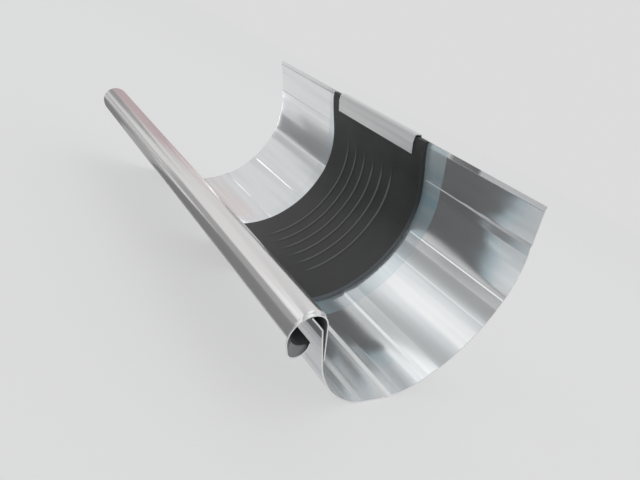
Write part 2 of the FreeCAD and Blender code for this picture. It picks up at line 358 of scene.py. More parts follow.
# %% [markdown]
# ## From the line to a half
#
# A half is its section line, moved by the relief, and the same line one sheet further out. Where the joint
# rests, the waves stop, so that nothing sinks into the floor, and below the rubber all relief dies away,
# as if the sheet were pressed flat to take the glue. Beside two creases on the bottom a highlight is painted
# pale. The finish could find them again, but their places are known here, so each vertex carries its share.

# %% The halves
HALF_STATIONS = 27
PRESSED_MARGIN = 5.0
LEVEL_TO, WAVY_FROM = 14.0, 26.0
BAND_MIDDLE = (RUBBER_START + RUBBER_END) / 2
RUBBER_HALF = (RUBBER_END - RUBBER_START) / 2
# Painted highlight: pale streaks beside two creases on the bottom, stronger towards both ends.
HIGHLIGHT_STREAKS = ((REST_FLAT, 4.0, 8.0, 1.0), (REST_FLAT + 1, -2.0, 6.0, 0.8))
HIGHLIGHT_FROM, HIGHLIGHT_FULL = 60.0, 140.0


def highlight_streaks(run, stations):
    """Share of painted highlight: a hump beside each of two creases on the bottom, stronger at the ends."""
    humps = [
        strength * hump(run - run_at(bends[bend]) - offset, half_width)
        for bend, offset, half_width, strength in HIGHLIGHT_STREAKS
    ]
    return np.maximum(*humps)[None, :] * ease(np.abs(stations), HIGHLIGHT_FROM, HIGHLIGHT_FULL)[:, None]


def half_stations(start, end):
    """Even places along a half, and closer ones where the relief changes at an edge of the rubber."""
    close = np.arange(-PRESSED_MARGIN, PRESSED_MARGIN / 2)
    even = np.linspace(start, end, HALF_STATIONS)
    stations = np.concatenate([even, RUBBER_START + close, RUBBER_END + close])
    return np.unique(stations[(stations >= start) & (stations <= end)])


def half_sheet(name, start, end, creases, seed):
    """One half: the section line moved by waves, ridges, hollow and fold, and the same line a sheet away."""
    stations = half_stations(start, end)
    rest_run = (run_at(bends[REST_FLAT]) + run_at(bends[REST_FLAT + 1])) / 2
    relief = sheet_waves(half_run, stations, seed) * ease(np.abs(half_run - rest_run), LEVEL_TO, WAVY_FROM)
    relief += crease_ridges(half_run, creases)
    relief += opened_fold(half_run, stations) - pressed_hollow(half_run, stations)
    relief *= ease(np.abs(stations - BAND_MIDDLE), RUBBER_HALF - PRESSED_MARGIN, RUBBER_HALF)[:, None]
    print(name, "relief from %.2f to %.2f mm" % (relief.min(), relief.max()))
    front = beside(half_line, half_headings, relief)
    back = beside(half_line, half_headings, relief - SHEET)
    piece = sheet_piece(name, front, back, stations, half_run)
    # Painted highlight: its share is stored on the inner face only, and the outer face gets none.
    painted_highlight = highlight_streaks(half_run, stations)
    add_mask(piece, "painted_highlight", np.concatenate([painted_highlight, np.zeros_like(painted_highlight)], axis=1))
    return piece


near_half = half_sheet("near_half_sheet", -LENGTH / 2, -GAP / 2, CREASES, 3)
far_half = half_sheet("far_half_sheet", GAP / 2, LENGTH / 2, FAR_CREASES, 8)

# %% [markdown]
# ## The ribbed rubber
#
# The strip is moulded flat and glued round the inside. Its own section runs along the gutter: a flat back,
# two square edges with the corners rounded off, and a face with six low ribs. That closed profile is
# carried along the gutter's section line. The ribs could be a bump in the material, but they show at the
# edge of the light, so they are real. They rise below the clip and fade out on the bottom. The strip was
# glued in by hand, and its upper end lies a few millimetres out of square.

# %% Profile of the rubber
RUBBER_BACK, RUBBER_FACE = 0.3, 4.8
RIB_COUNT, RIB_PITCH, RIB_HALF_WIDTH, RIB_HEIGHT = 6, 11.2, 1.6, 1.0
EDGE_ROUND = 0.7
RUBBER_BEND, LIP_BEND = 40.0, 7.8
STRIP_SKEW, SKEW_EASES = 4.0, (4.0, 60.0)
RIBS_RISE, RIBS_FADE = (29.0, 52.0), (146.0, 166.0)
FACE_POINTS, STRIP_SPACING = 230, 2.6
LEG_GAP, LEG_DROP = 0.3, 3.5


def rubber_profile():
    """The strip's closed profile: places along the gutter, heights above its back, and rib heights. The
    face and the back have as many points, so that the ends can be closed by strips of quads."""
    top = RUBBER_FACE - RUBBER_BACK
    quarter = np.linspace(0, np.pi / 2, 5)
    face_y = np.linspace(RUBBER_START + EDGE_ROUND, RUBBER_END - EDGE_ROUND, FACE_POINTS)[1:-1]
    near_y = RUBBER_START + EDGE_ROUND * (1 - np.cos(quarter))
    far_y = RUBBER_END - EDGE_ROUND * (1 - np.sin(quarter))
    near_h = top - EDGE_ROUND * (1 - np.sin(quarter))
    far_h = top - EDGE_ROUND * (1 - np.cos(quarter))
    front_y = np.concatenate([near_y, face_y, far_y])
    front_h = np.concatenate([near_h, np.full(len(face_y), top), far_h])
    middles = (np.arange(RIB_COUNT) - (RIB_COUNT - 1) / 2) * RIB_PITCH
    ribs = RIB_HEIGHT * hump(front_y[:, None] - middles, RIB_HALF_WIDTH).sum(axis=1)
    back = np.zeros(len(front_y))
    y = np.append(front_y, front_y[::-1])
    return y, np.append(front_h, back), np.append(ribs, back)


# %% The strip round the section
leg_foot = complex(-HALF_WIDTH + LEG_GAP, -LEG_DROP)
strip_end = complex(-HALF_WIDTH, leg_foot.imag - LEG_GAP)
rubber_corners = [lip_tip, lip_foot, rear_foot] + bends + [front_foot, strip_end]
rubber_bends = [LIP_BEND] + [RUBBER_BEND] * (len(rubber_corners) - 3)
rubber_steps = corner_steps(rubber_corners, rubber_bends, [0, 0] + round_curves + [0])
rubber_line, rubber_headings = walk(*rubber_steps, spacing=STRIP_SPACING)
rubber_run = along(rubber_line)


def ribbed_rubber(name):
    """The profile carried along the section line. The ribs ease in below the clip and out on the bottom,
    and the upper end of the strip is moved along the gutter by its skew."""
    y, height, ribs = rubber_profile()
    rib_share = ease(rubber_run, *RIBS_RISE) * (1 - ease(rubber_run, *RIBS_FADE))
    raised = RUBBER_BACK + height[None, :] + rib_share[:, None] * ribs[None, :]
    section = beside(rubber_line[:, None], rubber_headings[:, None], raised)
    skew = STRIP_SKEW * (1 - ease(rubber_run, *SKEW_EASES))[:, None]
    return loop_piece(name, section, y[None, :], rubber_run[:, None], raised, SHARP_CUT, skew)


rubber = ribbed_rubber("ribbed_rubber")

# %% [markdown]
# ## The bead sleeve
#
# The bead along a gutter's front edge stiffens it and takes the brackets. Here it is one sleeve over both
# halves: a straight leg inside the front wall, a round over the flanges, and a lower edge that turns in.
# At the near end the round is opened into a wider mouth with its edge curled up. Both sections have the
# same four parts, so the sheet is a blend of the two: the mouth's at the end, and the bead's a few
# millimetres further in.

# %% Sections of the sleeve
LEG_ANGLE = 5.0
MOUTH_LENGTH = 2.5
MOUTH_STATIONS, BEAD_STATIONS = 9, 42
RUN_SPACING, ROUND_POINTS = 50.0, 44
SLEEVE_WAVES = 0.4


def sleeve_line(leg, radius, side, curl_radius, curl_angle):
    """Leg, round, straight front and curl, as points and headings of the sleeve's hollow side. The wide
    spacing leaves every run and every round the same number of points, so that two sections can blend."""
    steps = [
        (leg, radius - SHEET, math.radians(180 + LEG_ANGLE)),
        (side, curl_radius - SHEET, math.radians(curl_angle)),
    ]
    return walk(leg_foot, math.radians(90 - LEG_ANGLE), steps, RUN_SPACING, ROUND_POINTS)


bead_line, bead_headings = sleeve_line(leg=24.7, radius=9.6, side=1.0, curl_radius=9.6, curl_angle=95)
mouth_line, mouth_headings = sleeve_line(leg=22.6, radius=11.0, side=5.0, curl_radius=6.2, curl_angle=170)


def bead_sleeve(name):
    """The sleeve: hollow and outer faces of both sections, blended by a smooth step along the mouth."""
    near_end = -LENGTH / 2
    mouth_end = near_end + MOUTH_LENGTH
    mouth_stations = np.linspace(near_end, mouth_end, MOUTH_STATIONS)
    stations = np.append(mouth_stations, np.linspace(mouth_end, -near_end, BEAD_STATIONS)[1:])
    share = ease(stations, near_end, mouth_end)[:, None]
    run = along(bead_line)
    waves = sheet_waves(run, stations, 5) * SLEEVE_WAVES
    faces = []
    for depth in (0.0, SHEET):
        mouth = beside(mouth_line, mouth_headings, depth)
        bead = beside(bead_line, bead_headings, depth + waves)
        faces.append(mouth * (1 - share) + bead * share)
    return sheet_piece(name, faces[0], faces[1], stations, run)


sleeve = bead_sleeve("bead_sheet")

# %% [markdown]
# ## The rear clip
#
# A short strip folded over the rear edge pinches the rubber's end against the sheet. Its section is a
# narrow upside-down U that follows the lean of the lip. Folding has left shallow grooves along it.

# %% Section of the clip
CLIP_HALF_LENGTH = 45.0
CLIP_INSIDE, CLIP_OUTSIDE = 5.1, -1.0
CLIP_CORNER = 1.0
CLIP_DEPTH, CLIP_HOOK = 11.5, 8.0
CLIP_GROOVES, GROOVE_HALF_WIDTH = ((3.2, 0.10), (7.0, 0.14), (9.6, 0.10)), 0.9
CLIP_STATIONS, CLIP_SPACING = 21, 0.4
CLIP_WAVES = 0.3


def offset_corner(corners, index, distance):
    """A corner of a line moved to the line's left: along the mean of its two normals, by the distance over
    the cosine of half the turn."""
    before = max(index - 1, 0)
    after = min(index, len(corners) - 2)
    normals = [1j * np.exp(1j * np.angle(corners[n + 1] - corners[n])) for n in (before, after)]
    middle = normals[0] + normals[1]
    return corners[index] + middle * distance / (1 + (normals[0] * np.conj(normals[1])).real)


def rear_clip(name):
    """The clip: inner leg up, over the top, and down the outer leg, as one bent line with its sheet."""
    top = lip_tip + np.exp(1j * LIP_LEAN) * CLIP_CORNER
    inner = [HALF_WIDTH + (lip_tip.imag - CLIP_DEPTH) * 1j, lip_foot, top]
    outer = [HALF_WIDTH + (lip_tip.imag - CLIP_HOOK) * 1j, lip_foot, top]
    corners = [offset_corner(inner, index, CLIP_INSIDE) for index in (0, 1, 2)]
    corners += [offset_corner(outer, index, CLIP_OUTSIDE) for index in (2, 1, 0)]
    steps = corner_steps(corners, [CLIP_CORNER] * (len(corners) - 2), [0] * (len(corners) - 1))
    line, headings = walk(*steps, spacing=CLIP_SPACING)
    run = along(line)
    stations = np.linspace(-CLIP_HALF_LENGTH, CLIP_HALF_LENGTH, CLIP_STATIONS)
    relief = sheet_waves(run, stations, 11) * CLIP_WAVES
    for groove, depth in CLIP_GROOVES:
        relief = relief + depth * hump(run - groove, GROOVE_HALF_WIDTH)
    front = beside(line, headings, relief)
    back = beside(line, headings, relief - SHEET)
    return sheet_piece(name, front, back, stations, run)


clip = rear_clip("clip_sheet")

# %% [markdown]
# ## Cut edges
#
# Shears leave a fine round along every cut edge, and that round is what catches the light as a thin bright
# line. A Bevel modifier gives it to the sheet pieces: only edges sharper than 50 degrees are rounded, so
# the bends are left as they are.

# %% Round the cut edges
EDGE_WIDTH = 0.15

for piece in (near_half, far_half, sleeve, clip):
    bevel = piece.modifiers.new("cut_edges", "BEVEL")
    bevel.width = EDGE_WIDTH * MM
    bevel.segments = 2
    bevel.limit_method = "ANGLE"
    bevel.angle_limit = math.radians(SHARP_CUT)
    bevel.harden_normals = True
print("cut edges rounded by %.2f mm" % EDGE_WIDTH)

# %% [markdown]
# ## Small helpers for node trees
#
# A finish is a tree of nodes. These helpers add a node, join it, and hand back the socket to go on from.

# %% Node helpers
def link(tree, source, target):
    """Join one node's output to another node's input."""
    tree.links.new(source, target)


def fill(tree, socket, value):
    """Give an input socket a number, a colour or another node's output."""
    if isinstance(value, bpy.types.NodeSocket):
        link(tree, value, socket)
    else:
        socket.default_value = value


def math_node(tree, operation, *values):
    """A math node's result for two or three numbers or sockets."""
    node = tree.nodes.new("ShaderNodeMath")
    node.operation = operation
    for socket, value in zip(node.inputs, values):
        fill(tree, socket, value)
    return node.outputs["Value"]


def product(tree, first, second):
    """One mask times another mask or a number."""
    return math_node(tree, "MULTIPLY", first, second)


def inverse(tree, mask):
    """One less a mask."""
    return math_node(tree, "SUBTRACT", 1.0, mask)


def mixed(tree, share, first, second):
    """A colour between two colours or colour sockets."""
    node = tree.nodes.new("ShaderNodeMix")
    node.data_type = "RGBA"
    fill(tree, node.inputs["Factor"], share)
    for socket, value in ((node.inputs[6], first), (node.inputs[7], second)):
        fill(tree, socket, value)
    return node.outputs[2]


def step(tree, value, low, high):
    """A map range node that takes low..high to 0..1 with smooth ends."""
    node = tree.nodes.new("ShaderNodeMapRange")
    node.interpolation_type = "SMOOTHSTEP"
    node.inputs["From Min"].default_value = low
    node.inputs["From Max"].default_value = high
    link(tree, value, node.inputs["Value"])
    return node.outputs["Result"]


def noise(tree, vector, scale, stretch, detail):
    """Noise on a place that is scaled along its own axes first."""
    mapping = tree.nodes.new("ShaderNodeMapping")
    mapping.inputs["Scale"].default_value = stretch
    link(tree, vector, mapping.inputs["Vector"])
    node = tree.nodes.new("ShaderNodeTexNoise")
    node.inputs["Scale"].default_value = scale
    node.inputs["Detail"].default_value = detail
    link(tree, mapping.outputs["Vector"], node.inputs["Vector"])
    return node.outputs["Fac"]


def parts(tree, vector):
    """The X, Y and Z of a vector socket."""
    node = tree.nodes.new("ShaderNodeSeparateXYZ")
    link(tree, vector, node.inputs["Vector"])
    return node.outputs["X"], node.outputs["Y"], node.outputs["Z"]


def finish_tree(name):
    """A new material: its tree, its shader, and the socket that holds a vertex's place on the flat piece."""
    material = bpy.data.materials.new(name)
    material.use_nodes = True
    tree = material.node_tree
    note = tree.nodes.new("ShaderNodeAttribute")
    note.attribute_name = "flat_place"
    print("material", name)
    return material, tree, tree.nodes["Principled BSDF"], note.outputs["Vector"]


def set_bump(tree, shader, height, strength, distance):
    """Bump from a height mask into a shader's normal."""
    bump = tree.nodes.new("ShaderNodeBump")
    bump.inputs["Strength"].default_value = strength
    bump.inputs["Distance"].default_value = distance
    link(tree, height, bump.inputs["Height"])
    link(tree, bump.outputs["Normal"], shader.inputs["Normal"])


# %% [markdown]
# ## The rolled sheet finish
#
# Bright galvanised sheet is a soft mirror. Rolling leaves streaks and fine lines along the strip, and
# handling leaves dull smudges. They could be painted images; here one node group makes them from noise on
# each vertex's place on the flat sheet: stretched a long way along the gutter for the lines, and left
# round for the smudges. The group puts out masks, and each material decides what they do to its own metal.

# %% Node group for rolled sheet
def rolled_sheet_group():
    """Masks of rolled sheet from a place on it: broad streaks, fine lines and smudges."""
    tree = bpy.data.node_groups.new("rolled_sheet", "ShaderNodeTree")
    tree.interface.new_socket("Place", in_out="INPUT", socket_type="NodeSocketVector")
    for name in ("Streaks", "Lines", "Smudges"):
        tree.interface.new_socket(name, in_out="OUTPUT", socket_type="NodeSocketFloat")
    spot = tree.nodes.new("NodeGroupInput").outputs["Place"]
    leave = tree.nodes.new("NodeGroupOutput")
    streaks = noise(tree, spot, scale=110, stretch=(1, 0.04, 1), detail=4)
    lines = noise(tree, spot, scale=900, stretch=(1, 0.01, 1), detail=2)
    smudges = noise(tree, spot, scale=45, stretch=(1, 0.4, 1), detail=2)
    link(tree, step(tree, streaks, 0.38, 0.66), leave.inputs["Streaks"])
    link(tree, lines, leave.inputs["Lines"])
    link(tree, step(tree, smudges, 0.3, 0.8), leave.inputs["Smudges"])
    return tree


rolled_sheet = rolled_sheet_group()
print("node group", rolled_sheet.name)


def sheet_marks(tree, spot):
    """The rolled sheet group, fed with a place."""
    node = tree.nodes.new("ShaderNodeGroup")
    node.node_tree = rolled_sheet
    link(tree, spot, node.inputs["Place"])
    return node.outputs


# %% [markdown]
# ## The treated band, a stain, and painted light
#
# Beside the rubber, the inner faces have a matt, blue-green band: the metal was roughened and primed there,
# a little further than the glue went. Its edge is straight but hand made. On the bottom it was wiped thin,
# and on the far half it hardly shows. The band could be a second piece; it has no thickness to speak of,
# so it is a mask in the finish, from the distance to the rubber's edge.
#
# Other marks are masks too. At the near end the lip is made less metallic, a painted highlight that shows
# pale, and it is stained from there to the band. Shade is painted dark on the top of the front wall and on
# the flange, inside the bead. Both cut ends are painted white, as a highlight.

# %% Masks on the halves
BACK_FROM, BACK_FULL = 0.2, 0.5
# Painted highlight: a thin line at both cut ends.
CUT_FROM, CUT_FULL = LENGTH / 2 - 0.3, LENGTH / 2 - 0.1
BAND_EDGE, BAND_RAGGED = RUBBER_HALF + 15.0, 0.6
BARE_FROM, BARE_FULL = BAND_EDGE - 0.5, BAND_EDGE + 1.0
WIPED_FROM, WIPED_FULL = 45.0, 85.0
WIPED_FADES, WIPED_TO = 150.0, 172.0
WIPED_THINS, FAR_THINS, FAR_FULL = 0.72, 0.7, 10.0
PALE_FROM, PALE_TO = 6.0, 30.0
# Painted highlight: the lip is made less metallic at the near end, so it shows pale.
LIP_RUN, LIP_FADE = 3.6, 0.8
STAIN_FROM, STAIN_FULL = -103.0, -99.0
STAIN_FADES, STAIN_TO = -79.0, -73.0
# Painted shade: the top of the front wall and the flange, inside the bead, are darkened.
BEAD_SHADE_RUN, BEAD_SHADE_FADE = run_at(front_top) - 5.5, 0.6


def from_middle(tree, y):
    """Distance along the gutter from the middle of the rubber, in metres."""
    return math_node(tree, "ABSOLUTE", math_node(tree, "SUBTRACT", y, BAND_MIDDLE * MM))


def back_face(tree, depth):
    """A mask of a sheet's back face, from the depth in the sheet."""
    return step(tree, depth, BACK_FROM * MM, BACK_FULL * MM)


def cut_end(tree, y):
    """A mask of the cuts at both ends of the gutter, with a fine margin on the faces, where a highlight is
    painted.
    """
    return step(tree, math_node(tree, "ABSOLUTE", y), CUT_FROM * MM, CUT_FULL * MM)


def treated_band(tree, spot):
    """A mask of the band beside the rubber: full on the wall, thin on the bottom, full again at the bead."""
    run, y, depth = parts(tree, spot)
    ragged = product(tree, noise(tree, spot, scale=90, stretch=(1, 1, 1), detail=2), BAND_RAGGED * MM)
    reach = math_node(tree, "ADD", ragged, from_middle(tree, y))
    beyond = step(tree, reach, BARE_FROM * MM, BARE_FULL * MM)
    wiped = step(tree, run, WIPED_FROM * MM, WIPED_FULL * MM)
    wiped = math_node(tree, "SUBTRACT", wiped, step(tree, run, WIPED_FADES * MM, WIPED_TO * MM))
    far = step(tree, y, 0.0, FAR_FULL * MM)
    coat = math_node(tree, "MULTIPLY_ADD", wiped, -WIPED_THINS, 1.0)
    coat = product(tree, coat, math_node(tree, "MULTIPLY_ADD", far, -FAR_THINS, 1.0))
    bare = math_node(tree, "MAXIMUM", beyond, back_face(tree, depth))
    return product(tree, coat, inverse(tree, bare))


def lip_masks(tree, run, y):
    """Masks of the lip on the near half: a painted highlight at its end, and stained from there to the band.
    """
    lip = inverse(tree, step(tree, run, (LIP_RUN - LIP_FADE) * MM, LIP_RUN * MM))
    further_in = step(tree, y, STAIN_FROM * MM, STAIN_FULL * MM)
    stained = math_node(tree, "SUBTRACT", further_in, step(tree, y, STAIN_FADES * MM, STAIN_TO * MM))
    return product(tree, lip, inverse(tree, further_in)), product(tree, lip, stained)


def half_masks(tree, spot):
    """All masks of a half by name. Only the inner face is stained."""
    run, y, depth = parts(tree, spot)
    back = back_face(tree, depth)
    # Painted highlight at the lip's near end, and a stain from there to the band.
    pale_highlight, stained = lip_masks(tree, run, y)
    # Painted highlight streaks, read from the stored share.
    painted_highlight = tree.nodes.new("ShaderNodeAttribute")
    painted_highlight.attribute_name = "painted_highlight"
    return {
        "back": back,
        "band": treated_band(tree, spot),
        "below_lip": step(tree, run, PALE_FROM * MM, PALE_TO * MM),
        # Painted shade inside the bead.
        "bead_shade": step(tree, run, BEAD_SHADE_RUN * MM, (BEAD_SHADE_RUN + BEAD_SHADE_FADE) * MM),
        "painted_highlight": painted_highlight.outputs["Fac"],
        "pale_highlight": pale_highlight,
        "stained": product(tree, stained, inverse(tree, back)),
        # Cut ends, where a highlight is painted.
        "cut": cut_end(tree, y),
    }


print("treated band: %.1f mm to each side of the rubber" % (BAND_EDGE - RUBBER_HALF))

# %% [markdown]
# ## The metals
#
# The halves, the sleeve and the clip are the same kind of sheet, so one function makes their materials. The
# sleeve and the clip are brighter outside than in their hollow, where shade is painted into the colour. On
# the halves the masks above are laid over the bare metal one by one, and the outer faces are a little duller.
# A marked place is less of a mirror, so the masks also take away some of the metal's shine.

# %% Colours of the metals, and what marks do to them
OUTSIDE_LIGHT, OUTSIDE_DARK = (0.72, 0.735, 0.75, 1), (0.58, 0.60, 0.62, 1)
PRIMER_PALE, PRIMER_BLUE = (0.80, 0.86, 0.88, 1), (0.55, 0.76, 0.85, 1)
PRIMER_STREAK = (0.72, 0.84, 0.88, 1)
# Painted shade inside the bead, and a stain on the lip.
PAINTED_BEAD_SHADE, STAIN = (0.16, 0.17, 0.17, 1), (0.36, 0.35, 0.355, 1)
# Painted highlight colours: pale streaks on the bottom, and white at both cut ends.
PAINTED_HIGHLIGHT_METAL, PAINTED_END_HIGHLIGHT = (0.96, 0.97, 0.97, 1), (0.97, 0.975, 0.975, 1)
# Painted shade in the hollow of the sleeve and the clip.
SHADED, DEEP_SHADE = (0.50, 0.51, 0.51, 1), (0.24, 0.25, 0.25, 1)
DEEP_FROM, DEEP_TO = 40.0, 52.0
SMUDGE_DULLS, STREAK_DULLS, BACK_DULLS, BAND_DULLS = 0.06, 0.05, 0.12, 0.08
BAND_HIDES, HIGHLIGHT_HIDES, END_HIGHLIGHT_HIDES = 0.34, 0.72, 0.4
HOLLOW_METALLIC = 0.4

# %% Finishes of the sheets
def half_colour(tree, masks, streaks, colour):
    """Colour of a half: bare metal, then outside, primer, painted shade in the bead, painted highlight
    streaks and the stain over it.
    """
    primer = mixed(tree, masks["below_lip"], PRIMER_PALE, PRIMER_BLUE)
    for mask, coat in (
        ("back", mixed(tree, streaks, OUTSIDE_LIGHT, OUTSIDE_DARK)),
        ("band", mixed(tree, streaks, primer, PRIMER_STREAK)),
        # Painted shade inside the bead, then the painted highlight streaks.
        ("bead_shade", PAINTED_BEAD_SHADE),
        ("painted_highlight", PAINTED_HIGHLIGHT_METAL),
        ("stained", STAIN),
    ):
        colour = mixed(tree, masks[mask], colour, coat)
    return colour


def half_shine(tree, masks, dull, metallic):
    """Roughness and metal of a half: the back and the band are duller, and the band and painted highlights
    hide the metal.
    """
    dull = math_node(tree, "MULTIPLY_ADD", masks["back"], BACK_DULLS, dull)
    dull = math_node(tree, "MULTIPLY_ADD", masks["band"], BAND_DULLS, dull)
    # Painted highlights (lip end, bottom streaks, cut ends) lose metal here, so they show pale.
    pale_highlight = math_node(tree, "MAXIMUM", masks["pale_highlight"], masks["painted_highlight"])
    pale_highlight = math_node(tree, "MAXIMUM", pale_highlight, masks["cut"])
    metal = math_node(tree, "MULTIPLY_ADD", masks["band"], -BAND_HIDES, metallic)
    return dull, math_node(tree, "MULTIPLY_ADD", pale_highlight, -HIGHLIGHT_HIDES, metal)


def hollow_finish(tree, spot, colour, metallic):
    """Colour and metal of a folded sheet: bright outside, with shade painted along its hollow side, deeper
    further round.
    """
    run, y, depth = parts(tree, spot)
    back = back_face(tree, depth)
    # Painted shade on the hollow side, deeper beyond 40 mm.
    shade = mixed(tree, step(tree, run, DEEP_FROM * MM, DEEP_TO * MM), SHADED, DEEP_SHADE)
    metal = math_node(tree, "MULTIPLY_ADD", back, metallic - HOLLOW_METALLIC, HOLLOW_METALLIC)
    # Painted highlight: the cut ends lose metal, so they show pale.
    metal = math_node(tree, "MULTIPLY_ADD", cut_end(tree, y), -END_HIGHLIGHT_HIDES, metal)
    return mixed(tree, back, shade, colour), metal


# %% Metals
def sheet_material(name, light, dark, metallic, roughness, is_half):
    """Bright metal: streaks darken it a little, smudges and streaks dull it, and lines give a fine bump."""
    material, tree, shader, spot = finish_tree(name)
    marks = sheet_marks(tree, spot)
    colour = mixed(tree, marks["Streaks"], (*light, 1), (*dark, 1))
    dull = math_node(tree, "MULTIPLY_ADD", marks["Smudges"], SMUDGE_DULLS, roughness)
    dull = math_node(tree, "MULTIPLY_ADD", marks["Streaks"], STREAK_DULLS, dull)
    if is_half:
        masks = half_masks(tree, spot)
        colour = half_colour(tree, masks, marks["Streaks"], colour)
        dull, metal = half_shine(tree, masks, dull, metallic)
    else:
        colour, metal = hollow_finish(tree, spot, colour, metallic)
    # Painted highlight: both cut ends are mixed to white.
    cut = cut_end(tree, parts(tree, spot)[1])
    link(tree, mixed(tree, cut, colour, PAINTED_END_HIGHLIGHT), shader.inputs["Base Color"])
    link(tree, metal, shader.inputs["Metallic"])
    link(tree, dull, shader.inputs["Roughness"])
    set_bump(tree, shader, marks["Lines"], strength=0.15, distance=0.05 * MM)
    return material


gutter_metal = sheet_material("galvanised_gutter", (0.93, 0.945, 0.95), (0.85, 0.865, 0.88), 0.82, 0.11, True)
sleeve_metal = sheet_material("galvanised_sleeve", (0.92, 0.905, 0.90), (0.82, 0.81, 0.81), 0.90, 0.15, False)
clip_metal = sheet_material("galvanised_clip", (0.97, 0.975, 0.97), (0.80, 0.81, 0.81), 0.20, 0.28, False)
for piece, metal in (
    (near_half, gutter_metal),
    (far_half, gutter_metal),
    (sleeve, sleeve_metal),
    (clip, clip_metal),
):
    piece.data.materials.append(metal)

# %% [markdown]
# ## The rubber finish
#
# Moulded rubber is nearly black and matt, with a fine grain. Handling leaves a faint grey bloom on it, and it
# is lighter towards the bottom. A highlight is painted lighter on the tops of the ribs, and a reflection is
# painted lighter on the edges where the strip was cut from a longer one. The marks could be painted images;
# the height in the strip tells where the ribs are.

# %% Rubber material
# The rubber's tone, and a lighter tone for lower down.
RUBBER_DARK, RUBBER_LIGHTER = (0.042, 0.043, 0.043, 1), (0.082, 0.082, 0.082, 1)
# Painted highlight on the rib tops, and painted reflection on the cut edges.
RIB_TOP_HIGHLIGHT, RUBBER_EDGE_REFLECTION = (0.24, 0.24, 0.236, 1), (0.24, 0.25, 0.26, 1)
RIB_HIGHLIGHT_FROM, CUT_MARGIN = 0.12, 0.4
# Painted reflection on the cut edges shows from this far round the section on.
EDGE_REFLECTION_SHOWS = (40.0, 100.0)
LIGHTER_BELOW, LIGHTER_SHARE, BLOOM_SHARE = (50.0, 120.0), 0.9, 0.4
RUBBER_ROUGHNESS, GRAIN_DULLS = 0.42, 0.25


def rubber_material(name):
    """Dark rubber: bloom and a lighter bottom lighten it, painted highlights and reflections lighten rib tops
    and cut edges, and grain gives it bump.
    """
    material, tree, shader, spot = finish_tree(name)
    bloom = step(tree, noise(tree, spot, scale=30, stretch=(1, 1, 1), detail=4), 0.35, 0.75)
    grain = noise(tree, spot, scale=1500, stretch=(1, 1, 1), detail=2)
    run, y, height = parts(tree, spot)
    # Painted highlight on the rib tops.
    painted_highlight = step(tree, height, (RUBBER_FACE + RIB_HIGHLIGHT_FROM) * MM, (RUBBER_FACE + RIB_HEIGHT) * MM)
    # Painted reflection on the cut edges, fading out towards the upper end.
    cut = step(tree, from_middle(tree, y), (RUBBER_HALF - CUT_MARGIN) * MM, RUBBER_HALF * MM)
    cut = product(tree, cut, step(tree, run, EDGE_REFLECTION_SHOWS[0] * MM, EDGE_REFLECTION_SHOWS[1] * MM))
    # Lighter towards the bottom, with a random bloom.
    bottom = step(tree, run, LIGHTER_BELOW[0] * MM, LIGHTER_BELOW[1] * MM)
    bloom_and_lighter_bottom = math_node(tree, "MULTIPLY_ADD", bottom, LIGHTER_SHARE, product(tree, bloom, BLOOM_SHARE))
    colour = mixed(tree, bloom_and_lighter_bottom, RUBBER_DARK, RUBBER_LIGHTER)
    colour = mixed(tree, painted_highlight, colour, RIB_TOP_HIGHLIGHT)
    colour = mixed(tree, cut, colour, RUBBER_EDGE_REFLECTION)
    rough = math_node(tree, "MULTIPLY_ADD", grain, GRAIN_DULLS, RUBBER_ROUGHNESS)
    link(tree, colour, shader.inputs["Base Color"])
    link(tree, rough, shader.inputs["Roughness"])
    set_bump(tree, shader, grain, strength=0.25, distance=0.1 * MM)
    return material


rubber.data.materials.append(rubber_material("moulded_rubber"))

# %% [markdown]
# ## What each piece stands for, and what it moves with
#
# The near half slides against all the rest. The rubber is glued to both halves, so it stretches where it
# spans the gap; here its place is baked into its mesh, and it rides with neither side.

# %% Ride and replace
for piece, node, body, slot in (
    (near_half, "near_gutter_half", "near_side", "gutter_sheet"),
    (far_half, "far_gutter_half", "far_side", "gutter_sheet"),
    (sleeve, "bead_sleeve", "far_side", "sleeve_sheet"),
    (clip, "rear_clip", "far_side", "clip_sheet"),
):
    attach(piece, body)
    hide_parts(node)
    print(piece.name, "rides", body, "and stands for", node)
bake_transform(rubber)
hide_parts("rubber_strip")

# %% [markdown]
# ## Floor, cards and light
#
# The joint lies on a pale floor in soft light. The floor runs on to the horizon, where it meets a world of
# the same tone, so that no line shows behind the joint.
#
# Bright metal looks like what it mirrors, so the room needs some shape. A photographer hangs cards and lays
# cloths for this. Here two dark cloths and three grey ones lie to the left of the bead and beyond its far
# end, and three grey cards stand behind them. A large rosy card far away and a small one near the far end
# give the metal a blush. A small white card and a bright strip also stand near the far end, to draw thin
# lines in its creases. All of them show in mirror images only, and they shade nothing.

# %% Floor and cards
scene = bpy.context.scene
scene.view_settings.view_transform = "Standard"
FLOOR_REACH, FLOOR_BASE, FLOOR_GLOW = 40.0, 0.30, 0.524
CLOTH_HEIGHT = 1.0 * MM


def stage_face(name, corners, base, glow):
    """One flat matt face of the stage, with a base colour and a glow of its own."""
    mesh = bpy.data.meshes.new(name)
    mesh.from_pydata(corners, [], [tuple(range(len(corners)))])
    paint = bpy.data.materials.new(name)
    paint.use_nodes = True
    shader = paint.node_tree.nodes["Principled BSDF"]
    shader.inputs["Base Color"].default_value = (base, base, base, 1)
    shader.inputs["Roughness"].default_value = 1.0
    shader.inputs["Specular IOR Level"].default_value = 0.0
    shader.inputs["Emission Color"].default_value = (*glow, 1)
    shader.inputs["Emission Strength"].default_value = 1.0
    mesh.materials.append(paint)
    face = bpy.data.objects.new(name, mesh)
    scene.collection.objects.link(face)
    return face


